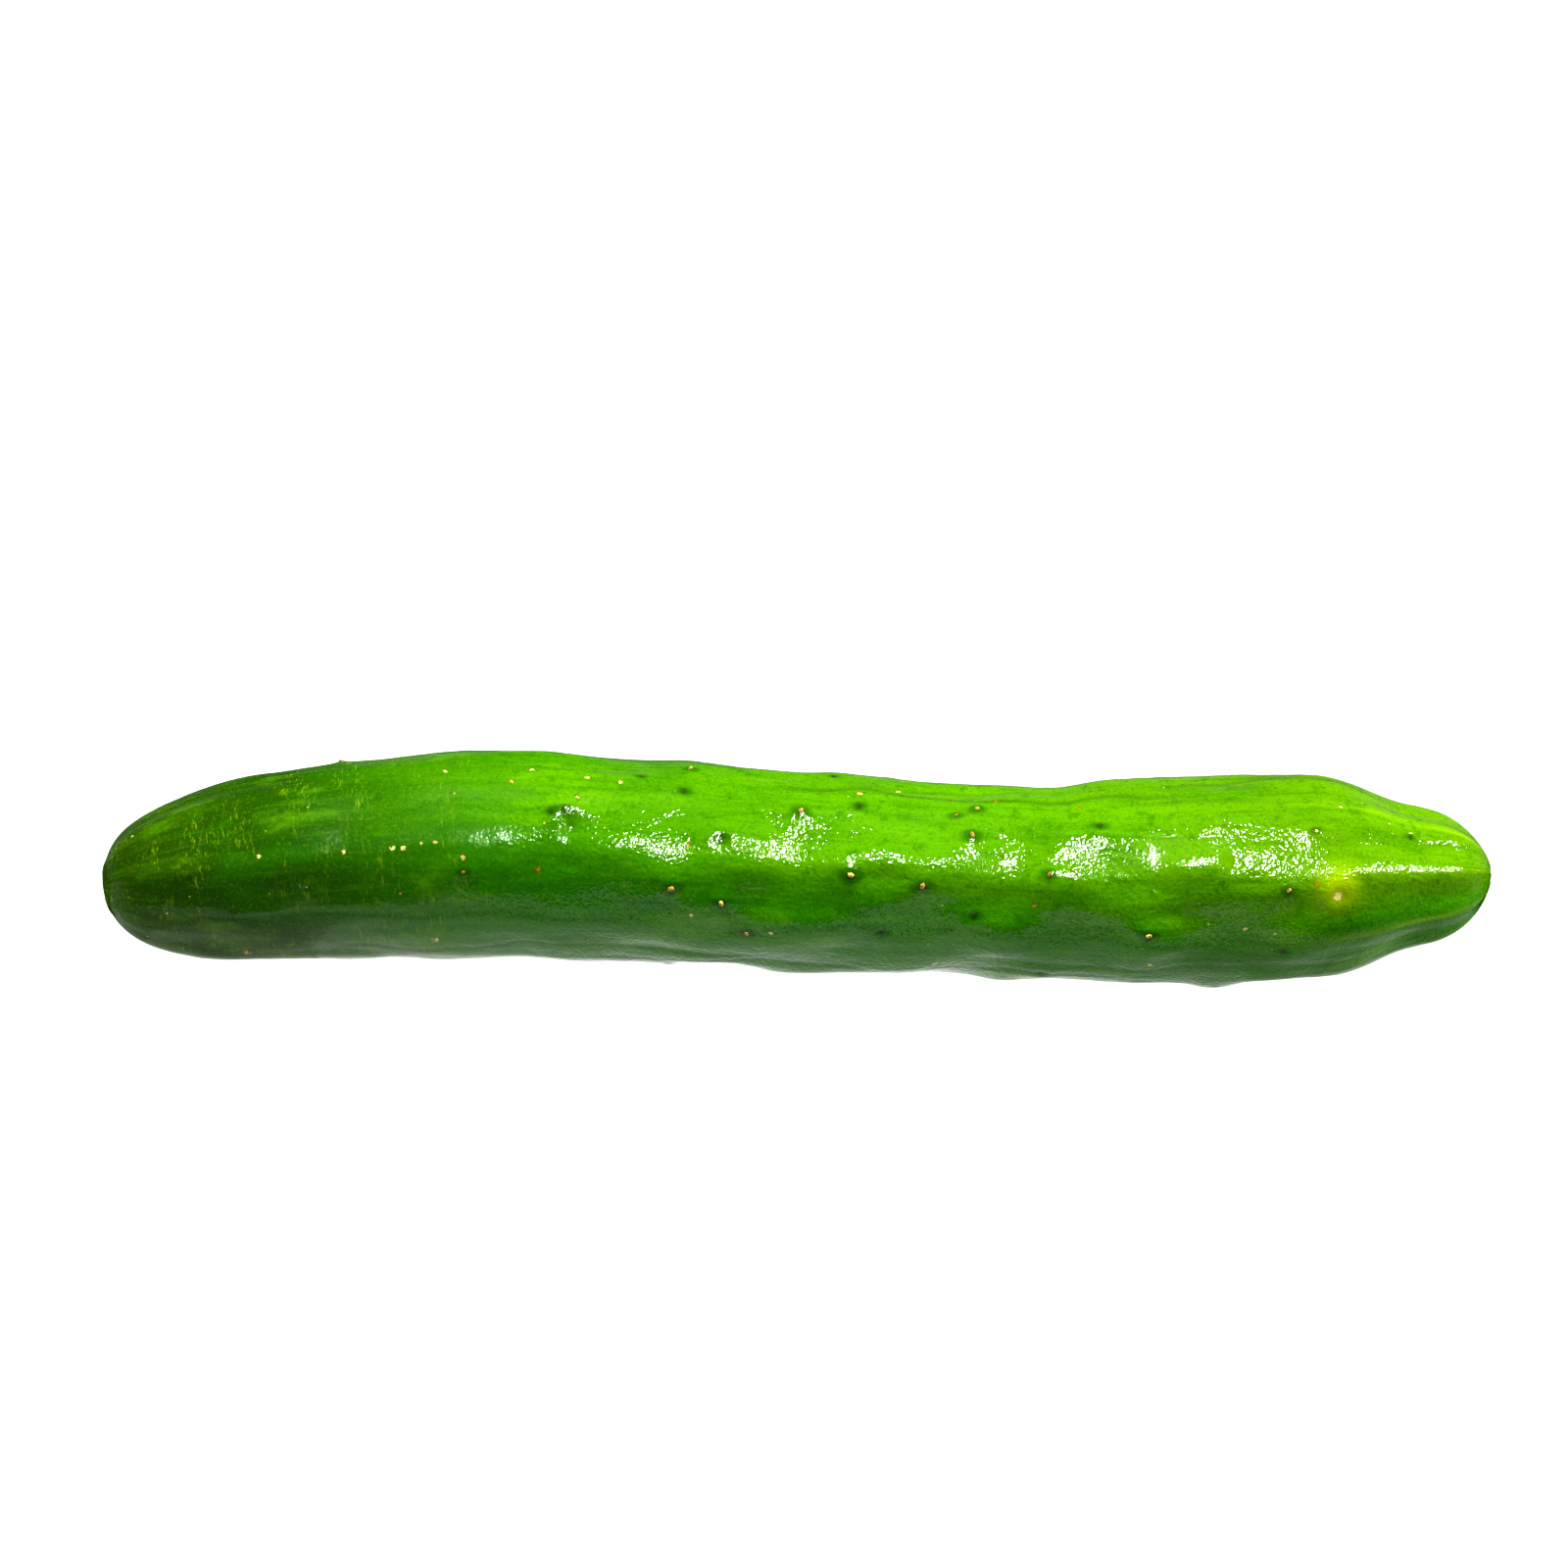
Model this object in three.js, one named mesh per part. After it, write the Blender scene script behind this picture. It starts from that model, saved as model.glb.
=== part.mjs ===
// A picked cucumber of the slim, warty kind, lying on its side.
//
// The fruit is one solid. Its skin is a function of two numbers: the share of the length from the stem end,
// and the angle round the axis. A sphere's grid of vertices is moved on to that skin.
// Millimetres. +X points to the blossom end, -Y to the front and +Z up. The fruit rests on the plane Z = 0.
import * as THREE from "three";

// Overall sizes
const LENGTH = 215; // tip to tip
const DIAMETER = 32.4; // the thickest place, between ribs and warts

// How full and how bent the fruit is, at places spaced evenly from the stem end to the blossom end
const FULLNESS = [0.925, 0.925, 0.995, 0.975, 0.94, 0.915, 0.965, 0.995, 0.975]; // share of DIAMETER
const SIDE_BEND = [1.3, 3.9, 5.4, 4.4, 2.3, 0.4, -0.4, 0.4, 2.6]; // axis behind its straight line, towards +Y
const DROOP = [3.3, 1.1, 0, 0.1, 0.3, 0.4, 0.2, 0, 1.5]; // axis below its highest place

// Rounded ends, as superellipses: the length over which each end closes, and how blunt it is
const STEM_CAP = 39;
const STEM_BLUNTNESS = 2.5;
const BLOSSOM_CAP = 35;
const BLOSSOM_BLUNTNESS = 2;

// The blossom end draws in before its tip, so that the tip stands out as a short snout
const NECK_DEPTH = 0.11; // share of the radius
const NECK_FROM_TIP = 14;
const NECK_WIDTH = 6.5;

// Section: three faint lobes, one for each seed chamber, and nine ribs that stand out towards the ends
const LOBES = 3;
const LOBE_HEIGHT = 0.2;
const LOBE_ANGLE = 50;
const RIBS = 9;
const RIB_HEIGHT = 0.09; // along the middle
const STEM_RIB_HEIGHT = 0.18; // added at the stem end
const BLOSSOM_RIB_HEIGHT = 0.42; // added at the blossom end
const RIB_ANGLE = 50; // a rib's crest, from the front, over the top
const RIB_REACH = 52; // how far from each end the ribs' extra height fades out

// Soft unevenness of the growth: [height, waves along the length, waves round the fruit, phase]
const SWELLS = [
  [0.12, 2.3, 1, 0.4],
  [0.13, 4.1, 2, 2.1],
  [0.11, 6.7, -1, 4.0],
  [0.09, 9.4, 3, 1.3],
  [0.07, 12.6, -2, 5.2],
];

// Warts, each a low mound that carries a spine: [share of the length, angle, size]
const WART_HEIGHT = 0.42;
const WART_SPREAD = 2.3;
const UPPER_WARTS = [
  [0.266, 36, 0.5], [0.327, 70, 0.8], [0.337, 72, 0.9], [0.388, 99, 0.7], [0.416, 32, 1.2],
  [0.419, 90, 0.9], [0.421, 112, 0.8], [0.449, 61, 1.1], [0.452, 25, 1.0], [0.47, 5, 0.8],
  [0.503, 81, 0.9], [0.523, 122, 0.8], [0.541, 45, 1.3], [0.543, 88, 1.0], [0.564, 9, 0.8],
  [0.591, 41, 1.2], [0.612, 86, 0.5], [0.624, 72, 1.0], [0.627, 23, 0.9], [0.627, 91, 0.8],
  [0.675, -22, 0.8], [0.678, 50, 0.8], [0.713, 79, 0.9], [0.746, 16, 0.9], [0.838, 4, 0.8],
  [0.84, 40, 0.7], [0.861, 72, 0.6], [0.873, 36, 1.3], [0.929, 76, 0.6],
];
const UNDER_WARTS = 26;
const UNDER_SHARES = [0.16, 0.93]; // first and last place along the length
const UNDER_ANGLES = [142, 322]; // from behind the upper warts, round underneath
const UNDER_SIZES = [0.7, 1.2];
const ANGLE_STRIDE = 0.618034; // one wart's step round its range: the golden ratio, so that no rows show
const SIZE_STRIDE = 0.854102; // one wart's step through its range of sizes

// Ends: the dry scar where the stem came away, and the nub that the flower left
const STEM_SCAR_RADIUS = 3.6;
const STEM_SCAR_DEPTH = 0.75;
const STEM_SCAR_LIP = 0.22;
const STEM_SCAR_EDGE = 0.7; // width of the slope between the scar's floor and its lip
const BLOSSOM_NUB_RADIUS = 1.5;
const BLOSSOM_NUB_HEIGHT = 0.25;

// The underside is pressed flat, to this depth, where the fruit's weight has rested
const REST_DEPTH = 0.4;

// Grid of the skin
const SECTORS = 40;
const RINGS = 98;
const END_RINGS = 0.15; // share of the rings that close each end
const END_GATHER = 2.5; // the power by which they gather towards the tip
const AIM_STEP = 1e-4; // share of the length either side of a place, from which the axis's direction is taken

const TURN = 2 * Math.PI;
const radians = THREE.MathUtils.degToRad;
const { clamp, euclideanModulo, lerp, smoothstep } = THREE.MathUtils;

// The smooth curve (Catmull-Rom) through values spaced evenly from share 0 to share 1.
function through(values, share) {
  const last = values.length - 1;
  const place = clamp(share, 0, 1) * last;
  const i = Math.min(Math.floor(place), last - 1);
  const f = place - i;
  const before = i > 0 ? values[i - 1] : 2 * values[0] - values[1];
  const after = i + 2 <= last ? values[i + 2] : 2 * values[last] - values[last - 1];
  const [a, b] = [values[i], values[i + 1]];
  const bend = 2 * before - 5 * a + 4 * b - after + f * (3 * (a - b) + after - before);
  return a + 0.5 * f * (b - before + f * bend);
}

// Share of the full radius that a closing end leaves, at a distance from its tip.
function closing(distance, cap, bluntness) {
  const open = 1 - clamp(distance / cap, 0, 1);
  return (1 - open ** bluntness) ** (1 / bluntness);
}

function radiusAt(share) {
  const fromStem = share * LENGTH;
  const fromBlossom = LENGTH - fromStem;
  const neck = NECK_DEPTH * Math.exp(-(((fromBlossom - NECK_FROM_TIP) / NECK_WIDTH) ** 2));
  const ends =
    closing(fromStem, STEM_CAP, STEM_BLUNTNESS) * closing(fromBlossom, BLOSSOM_CAP, BLOSSOM_BLUNTNESS);
  return (DIAMETER / 2) * through(FULLNESS, share) * ends * (1 - neck);
}

function axisAt(share) {
  const height = DIAMETER / 2 - REST_DEPTH - through(DROOP, share);
  return new THREE.Vector3((share - 0.5) * LENGTH, through(SIDE_BEND, share), height);
}

function ribHeightAt(share) {
  const towardsStem = 1 - smoothstep(share * LENGTH, 0, RIB_REACH);
  const towardsBlossom = 1 - smoothstep((1 - share) * LENGTH, 0, RIB_REACH);
  return RIB_HEIGHT + STEM_RIB_HEIGHT * towardsStem + BLOSSOM_RIB_HEIGHT * towardsBlossom;
}

function underWart(i) {
  const share = lerp(...UNDER_SHARES, (i + 0.5) / UNDER_WARTS);
  const angle = lerp(...UNDER_ANGLES, euclideanModulo(i * ANGLE_STRIDE, 1));
  return [share, angle, lerp(...UNDER_SIZES, euclideanModulo(i * SIZE_STRIDE, 1))];
}

const WARTS = [...UPPER_WARTS, ...Array.from({ length: UNDER_WARTS }, (_, i) => underWart(i))];

// Height of the warts' mounds: a bell round each wart, in millimetres measured on the skin.
function wartHeight(share, angle, radius) {
  let height = 0;
  for (const [wartShare, wartAngle, size] of WARTS) {
    const along = (share - wartShare) * LENGTH;
    const apart = euclideanModulo(angle - radians(wartAngle) + Math.PI, TURN) - Math.PI;
    const spread = WART_SPREAD * Math.sqrt(size);
    height += WART_HEIGHT * size * Math.exp(-(along ** 2 + (apart * radius) ** 2) / (2 * spread ** 2));
  }
  return height;
}

// Everything that makes the section other than round, fading to nothing at the tips.
function reliefAt(share, angle, radius) {
  const body = smoothstep(radius, 0, DIAMETER / 2);
  let relief = LOBE_HEIGHT * Math.cos(LOBES * (angle - radians(LOBE_ANGLE)));
  relief += ribHeightAt(share) * Math.cos(RIBS * (angle - radians(RIB_ANGLE)));
  for (const [height, along, round, phase] of SWELLS) {
    relief += height * Math.sin(TURN * along * share + round * angle + phase);
  }
  return body * (relief + wartHeight(share, angle, radius));
}

// How far the skin steps out of a tip, along the axis: the sunken stem scar in its lip, or the flower's nub.
function stemStep(radius) {
  const lip = Math.exp(-(((radius - STEM_SCAR_RADIUS) / STEM_SCAR_EDGE) ** 2));
  const inside = 1 - smoothstep(radius, STEM_SCAR_RADIUS - 2 * STEM_SCAR_EDGE, STEM_SCAR_RADIUS);
  return STEM_SCAR_LIP * lip - STEM_SCAR_DEPTH * inside;
}

function blossomStep(radius) {
  return BLOSSOM_NUB_HEIGHT * (1 - smoothstep(radius, 0, BLOSSOM_NUB_RADIUS));
}

// The point of the skin at a share of the length and an angle from the front over the top.
function skinPoint(share, angle) {
  const ahead = axisAt(Math.min(share + AIM_STEP, 1));
  const behind = axisAt(Math.max(share - AIM_STEP, 0));
  const along = ahead.sub(behind).normalize();
  const back = new THREE.Vector3(-along.y, along.x, 0).normalize();
  const up = new THREE.Vector3().crossVectors(along, back);
  const round = radiusAt(share);
  const radius = round + reliefAt(share, angle, round);
  const shift = share < 0.5 ? -stemStep(radius) : blossomStep(radius);
  const point = axisAt(share)
    .addScaledVector(back, -radius * Math.cos(angle))
    .addScaledVector(up, radius * Math.sin(angle))
    .addScaledVector(along, shift);
  point.z = Math.max(point.z, 0);
  return point;
}

// Where along the length a ring stands: evenly in the middle, and gathered towards each tip without a jump.
function stationOf(ring) {
  const fromTip = Math.min(ring, 1 - ring);
  const endShare = END_RINGS / (END_GATHER * (1 - 2 * END_RINGS) + 2 * END_RINGS);
  const middle = endShare + ((fromTip - END_RINGS) * (1 - 2 * endShare)) / (1 - 2 * END_RINGS);
  const share = fromTip < END_RINGS ? endShare * (fromTip / END_RINGS) ** END_GATHER : middle;
  return ring < 0.5 ? share : 1 - share;
}

function makeFruit() {
  const skin = new THREE.SphereGeometry(1, SECTORS, RINGS);
  const { position, uv } = skin.attributes;
  for (let i = 0; i < position.count; i++) {
    const point = skinPoint(stationOf(1 - uv.getY(i)), TURN * uv.getX(i));
    position.setXYZ(i, point.x, point.y, point.z);
  }
  skin.computeBoundingBox();
  const middle = skin.boundingBox.getCenter(new THREE.Vector3());
  skin.translate(-middle.x, -middle.y, 0);
  skin.computeVertexNormals();
  const green = new THREE.MeshStandardMaterial({ color: 0x3f8a0c, roughness: 0.32, metalness: 0 });
  const fruit = new THREE.Mesh(skin, green);
  fruit.name = "cucumber";
  return fruit;
}

const cucumber = new THREE.Group();
cucumber.add(makeFruit());

export default cucumber;
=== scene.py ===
"""The looks of a picked cucumber of the slim, warty kind, lying on its side.

The skin is one surface worked out from two numbers, the share of the length from the stem end and the
angle round the fruit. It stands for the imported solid, whose sizes it repeats. The dry stubs of the spines,
which sit on the warts, are a second piece. Lengths are millimetres until a mesh is made, and a mesh is in
metres.
"""

import math

import bpy
import numpy as np
from mathutils import Matrix, Vector


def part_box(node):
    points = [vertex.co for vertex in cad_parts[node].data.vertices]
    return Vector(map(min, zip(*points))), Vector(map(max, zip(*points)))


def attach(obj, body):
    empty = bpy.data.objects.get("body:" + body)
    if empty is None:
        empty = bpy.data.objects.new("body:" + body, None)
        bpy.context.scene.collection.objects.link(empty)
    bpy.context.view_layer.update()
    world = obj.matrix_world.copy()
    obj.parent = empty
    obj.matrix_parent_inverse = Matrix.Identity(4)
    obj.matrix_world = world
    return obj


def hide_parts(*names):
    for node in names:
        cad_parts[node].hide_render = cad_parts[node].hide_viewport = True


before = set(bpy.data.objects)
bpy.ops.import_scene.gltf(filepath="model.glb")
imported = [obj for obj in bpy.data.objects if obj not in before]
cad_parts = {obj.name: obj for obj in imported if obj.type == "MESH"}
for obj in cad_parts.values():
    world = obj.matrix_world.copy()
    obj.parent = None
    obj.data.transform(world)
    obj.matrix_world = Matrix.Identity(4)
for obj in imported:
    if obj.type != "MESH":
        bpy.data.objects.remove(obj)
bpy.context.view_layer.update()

MM = 0.001
TURN = 2 * np.pi

# Overall sizes and shape, the same as the solid's
LENGTH = 215.0
DIAMETER = 32.4
FULLNESS = [0.925, 0.925, 0.995, 0.975, 0.94, 0.915, 0.965, 0.995, 0.975]  # share of DIAMETER
SIDE_BEND = [1.3, 3.9, 5.4, 4.4, 2.3, 0.4, -0.4, 0.4, 2.6]  # axis towards +Y
DROOP = [3.3, 1.1, 0, 0.1, 0.3, 0.4, 0.2, 0, 1.5]  # axis below its highest place
STEM_CAP = 39
STEM_BLUNTNESS = 2.5
BLOSSOM_CAP = 35
BLOSSOM_BLUNTNESS = 2.0
NECK_DEPTH = 0.11
NECK_FROM_TIP = 14
NECK_WIDTH = 6.5
LOBES = 3
LOBE_HEIGHT = 0.2
LOBE_ANGLE = 50
RIBS = 9
RIB_HEIGHT = 0.09
STEM_RIB_HEIGHT = 0.18
BLOSSOM_RIB_HEIGHT = 0.42
RIB_ANGLE = 50
RIB_REACH = 52
SWELLS = [  # height, waves along the length, waves round the fruit, phase
    (0.12, 2.3, 1, 0.4),
    (0.13, 4.1, 2, 2.1),
    (0.11, 6.7, -1, 4.0),
    (0.09, 9.4, 3, 1.3),
    (0.07, 12.6, -2, 5.2),
]
SCAR_RADIUS = 3.6
SCAR_DEPTH = 0.75
SCAR_LIP = 0.22
SCAR_EDGE = 0.7
NUB_RADIUS = 1.5
NUB_HEIGHT = 0.25
REST_DEPTH = 0.4

# The floor of the stem scar: a pit in the middle, a ring round it and fibres like spokes
SCAR_PIT_DEPTH = 0.25
SCAR_PIT_RADIUS = 0.9
SCAR_RING_HEIGHT = 0.18
SCAR_RING_RADIUS = 1.7
SCAR_RING_WIDTH = 0.45
SCAR_FIBRES = [(0.1, 11, 1.5, 0), (0.07, 23, -2, 1)]  # height, spokes, twist, phase

# The puckered skin round the blossom nub
PUCKER_HEIGHT = 0.06
PUCKER_RADIUS = 2.2
PUCKER_WIDTH = 0.8

# Warts: share of the length, angle and size. Those with a stub still carry their dry spine
WART_HEIGHT = 0.52
WART_SPREAD = 2.3
WART_MIDDLE_SPREAD = 0.75
WART_COLLAR_SPREAD = 1.4
STUBBED_SHAPE = (0.34, -0.16)  # height of the middle and of the collar round it
BARE_SHAPE = (-0.4, 0.12)
STUBBED_WARTS = [
    (0.266, 36, 0.5), (0.416, 32, 1.2), (0.421, 112, 0.8), (0.452, 25, 1.0), (0.47, 5, 0.8),
    (0.503, 81, 0.9), (0.541, 45, 1.3), (0.591, 41, 1.2), (0.612, 86, 0.5), (0.624, 72, 1.0),
    (0.627, 91, 0.8), (0.678, 50, 0.8), (0.746, 16, 0.9), (0.84, 40, 0.7),
]
BARE_WARTS = [
    (0.327, 70, 0.8), (0.337, 72, 0.9), (0.388, 99, 0.7), (0.419, 90, 0.9), (0.449, 61, 1.1),
    (0.523, 122, 0.8), (0.543, 88, 1.0), (0.564, 9, 0.8), (0.627, 23, 0.9), (0.675, -22, 0.8),
    (0.713, 79, 0.9), (0.838, 4, 0.8), (0.861, 72, 0.6), (0.873, 36, 1.3), (0.929, 76, 0.6),
]
UNDER_WARTS = 26
UNDER_SHARES = (0.16, 0.93)
UNDER_ANGLES = (142, 322)
UNDER_SIZES = (0.7, 1.2)
ANGLE_STRIDE = 0.618034
SIZE_STRIDE = 0.854102
UNDER_STUB_EVERY = 2

# Dents beside the warts, where the skin sank in as it grew: share, angle, half width, depth
DENTS = [
    (0.342, 63, 1.9, 0.58), (0.421, 86, 1.5, 0.16), (0.45, 57, 1.7, 0.2), (0.545, 85, 1.4, 0.16),
    (0.5, 62, 3.6, 0.12), (0.555, 52, 2.6, 0.16), (0.62, 60, 3.0, 0.14), (0.655, 44, 2.4, 0.12),
    (0.72, 49, 2.6, 0.12), (0.471, 1, 2.4, 0.2), (0.805, 56, 1.6, 0.2), (0.9, 62, 2.0, 0.12),
]

# Creases of the skin, running along the fruit: first share, last share, angle, sway, depth
CREASES = [
    (0.46, 0.79, 103, 2.0, 0.13), (0.52, 0.7, 112, 3.0, 0.07), (0.74, 0.93, 118, 3.5, 0.11),
    (0.78, 0.95, 128, 3.0, 0.09), (0.7, 0.86, 96, 1.5, 0.06), (0.3, 0.47, 131, 2.0, 0.08),
    (0.15, 0.5, -16, 3.0, 0.09), (0.34, 0.78, -27, 4.0, 0.12), (0.6, 0.92, -13, 3.5, 0.1),
    (0.2, 0.6, 205, 3.0, 0.1), (0.55, 0.85, 190, 3.0, 0.1),
]
CREASE_WIDTH = 0.5
CREASE_FADE = 0.05
CREASE_SWAYS = 5.3
CREASE_WIGGLES = 17
WIGGLE_SHARE = 0.4

# Soft unevenness all over: height, more where lumpy, stretch, finest and coarsest wave, waves, seed
RIPPLES = [
    (0.09, 0.1, 0.5, 5, 11, 36, 3),
    (0, 0.25, 0.7, 9, 15, 36, 8),
    (0.05, 0, 0.15, 2.5, 6, 36, 5),
    (0.022, 0, 0.7, 2, 4, 40, 4),
]
LUMPY_FROM = (0.3, 0.42)
LUMPY_TO = (0.84, 0.94)

# A healed blemish with a yellow ring
BLEMISH = (0.873, 36)
BLEMISH_RADIUS = 0.95
YELLOW_RING_RADIUS = 2.1 * BLEMISH_RADIUS
YELLOW_RING_RISE = 4  # degrees

# Painted shade, as dark halos round the warts: darkness, spread, how far drawn out along the fruit. In the
# dents it grows darker with their depth
STUBBED_WART_SHADE = (1.2, 0.8, 1.6)
BARE_WART_SHADE = (0.9, 0.7, 1.8)
DENT_SHADE = 0.8
PIT_SPREAD = 0.55

# Patches where the fine grain of the skin is worn down: share, angle, half width
SMOOTH_PATCHES = [(0.742, 60, 2.0), (0.765, 62, 2.6), (0.785, 56, 2.0), (0.765, 47, 2.0)]

# Flecks of dried skin: share, angle, size
FLECKS = [
    (0.426, 56, 0.35), (0.602, -20, 0.45), (0.431, 16, 0.3), (0.487, 7, 0.35), (0.668, 32, 0.35),
    (0.861, 72, 0.32), (0.858, 43, 0.35), (0.749, -9, 0.45), (0.812, 18, 0.35), (0.215, 50, 0.5),
    (0.223, 50, 0.38), (0.18, 50, 0.38), (0.32, 38, 0.45), (0.236, 52, 0.3), (0.246, 52, 0.3),
    (0.099, -20, 0.6), (0.241, -9, 0.55), (0.121, 52, 0.35), (0.251, 99, 0.4), (0.297, 90, 0.35),
    (0.543, 99, 0.5), (0.266, 44, 0.4), (0.345, 80, 0.35), (0.35, 96, 0.4), (0.374, 93, 0.35),
    (0.31, 102, 0.4), (0.57, 108, 0.4), (0.64, 101, 0.35), (0.7, 95, 0.3), (0.88, 88, 0.3),
]

# Grid of the skin
RINGS = 480
SECTORS = 200
END_RINGS = 0.15
END_GATHER = 2.5
SEAM_ANGLE = -90.0  # where the grid meets itself, on the underside


def smoothstep(x, low, high):
    """0 below low, 1 above high, and a smooth S between them."""
    t = np.clip((x - low) / (high - low), 0, 1)
    return t * t * (3 - 2 * t)


def through(values, share):
    """The smooth curve (Catmull-Rom) through values spaced evenly from share 0 to share 1."""
    last = len(values) - 1
    place = np.clip(share, 0, 1) * last
    i = np.minimum(place.astype(int), last - 1)
    f = place - i
    carried_on = np.array([2 * values[0] - values[1], *values, 2 * values[-1] - values[-2]])
    before, a, b, after = (carried_on[i + k] for k in range(4))
    bend = 2 * before - 5 * a + 4 * b - after + f * (3 * (a - b) + after - before)
    return a + 0.5 * f * (b - before + f * bend)


def closing(distance, cap, bluntness):
    """Share of the full radius that a closing end leaves at a distance from its tip: a superellipse."""
    opened = 1 - np.clip(distance / cap, 0, 1)
    return (1 - opened**bluntness) ** (1 / bluntness)


def radius_at(share):
    """Radius of the round section: the fullness there, closed by both ends and drawn in at the neck."""
    from_stem = share * LENGTH
    from_blossom = LENGTH - from_stem
    neck = NECK_DEPTH * np.exp(-(((from_blossom - NECK_FROM_TIP) / NECK_WIDTH) ** 2))
    ends = closing(from_stem, STEM_CAP, STEM_BLUNTNESS)
    ends = ends * closing(from_blossom, BLOSSOM_CAP, BLOSSOM_BLUNTNESS)
    return DIAMETER / 2 * through(FULLNESS, share) * ends * (1 - neck)


def axis_at(share):
    """The axis: along X, bent sideways and drooping by the two curves above."""
    height = DIAMETER / 2 - REST_DEPTH - through(DROOP, share)
    return np.stack([(share - 0.5) * LENGTH, through(SIDE_BEND, share), height], -1)


def under_warts():
    """Warts on the hidden side: even steps along the length, golden-ratio steps round the fruit."""
    i = np.arange(UNDER_WARTS)
    share = UNDER_SHARES[0] + (UNDER_SHARES[1] - UNDER_SHARES[0]) * (i + 0.5) / UNDER_WARTS
    angle = UNDER_ANGLES[0] + (UNDER_ANGLES[1] - UNDER_ANGLES[0]) * ((i * ANGLE_STRIDE) % 1)
    size = UNDER_SIZES[0] + (UNDER_SIZES[1] - UNDER_SIZES[0]) * ((i * SIZE_STRIDE) % 1)
    return np.stack([share, angle, size, i % UNDER_STUB_EVERY == 0], -1)


def all_warts():
    """Every wart as a row: share, angle, size, and 1 with a stub or 0 without."""
    stubbed = [(*wart, 1) for wart in STUBBED_WARTS]
    bare = [(*wart, 0) for wart in BARE_WARTS]
    return np.concatenate([np.array(stubbed + bare), under_warts()])


WARTS = all_warts()


def apart(share, angle, radius, at_share, at_angle):
    """How far a place on the skin is from another, in millimetres: along the fruit, and round it."""
    turn = (angle - np.radians(at_angle) + np.pi) % TURN - np.pi
    return (share - at_share) * LENGTH, turn * radius


def bell(share, angle, radius, at_share, at_angle, spread, longer=1):
    """A bell of height 1 round a place on the skin, drawn out along the fruit by a factor."""
    along, round_it = apart(share, angle, radius, at_share, at_angle)
    return np.exp(-((along / longer) ** 2 + round_it**2) / (2 * spread**2))


def straightened(share, angle):
    """The same place on a straight, even cylinder, where a pattern has no seam and runs along the fruit."""
    share, angle = np.broadcast_arrays(share, angle)
    return np.stack([share * LENGTH, DIAMETER / 2 * np.cos(angle), DIAMETER / 2 * np.sin(angle)], -1)


def ripple(place, finest, coarsest, count, seed):
    """Soft unevenness, mostly from -1 to 1: plane waves of random direction, length and phase, summed."""
    draw = np.random.default_rng(seed)
    total = np.zeros(place.shape[:-1])
    for _ in range(count):
        direction = draw.normal(size=3)
        wave = TURN / draw.uniform(finest, coarsest) * direction / np.linalg.norm(direction)
        total += np.sin(place @ wave + draw.uniform(0, TURN))
    return total / math.sqrt(count)


def crease_at(share, angle, radius):
    """Depth of the creases: bell-shaped grooves whose middles sway by two sines, fading at both ends."""
    depth = np.zeros(np.broadcast(share, angle).shape)
    for first, last, at_angle, sway, deep in CREASES:
        slow = np.sin(TURN * share * CREASE_SWAYS + at_angle)
        quick = np.sin(TURN * share * CREASE_WIGGLES)
        middle = at_angle + sway * slow + WIGGLE_SHARE * sway * quick
        away = apart(share, angle, radius, share, middle)[1]
        fade = smoothstep(share, first, first + CREASE_FADE)
        fade = fade * (1 - smoothstep(share, last - CREASE_FADE, last))
        depth = depth + deep * fade * np.exp(-((away / CREASE_WIDTH) ** 2))
    return depth


def wart_relief(share, angle, radius):
    """Mounds under the warts, with a nipple under each stub and a pit in the middle of each bare wart."""
    height = 0
    for at_share, at_angle, size, stubbed in WARTS:
        spread = math.sqrt(size)
        mound = bell(share, angle, radius, at_share, at_angle, WART_SPREAD * spread)
        middle = bell(share, angle, radius, at_share, at_angle, WART_MIDDLE_SPREAD * spread)
        collar = bell(share, angle, radius, at_share, at_angle, WART_COLLAR_SPREAD * spread)
        middle_height, collar_height = STUBBED_SHAPE if stubbed else BARE_SHAPE
        inner = middle_height * middle + collar_height * collar
        height = height + size * (WART_HEIGHT * mound + inner)
    return height


def dent_depth(share, angle, radius):
    """Depth of the dents: each a bell-shaped hollow inside a wider, shallow rim."""
    depth = 0
    for at_share, at_angle, half_width, deep in DENTS:
        hollow = bell(share, angle, radius, at_share, at_angle, 0.7 * half_width)
        rim = bell(share, angle, radius, at_share, at_angle, 1.3 * half_width)
        depth = depth + deep * (1.5 * hollow - 0.5 * rim)
    return depth


def unevenness(share, angle):
    """Sum of the ripples, each drawn out along the fruit, and some of them only where the skin is lumpy."""
    place = straightened(share, angle)
    lumpy = smoothstep(share, *LUMPY_FROM) * (1 - smoothstep(share, *LUMPY_TO))
    height = 0
    for even, lumps, stretch, finest, coarsest, waves, seed in RIPPLES:
        wavy = ripple(place * [stretch, 1, 1], finest, coarsest, waves, seed)
        height = height + (even + lumps * lumpy) * wavy
    return height


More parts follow.
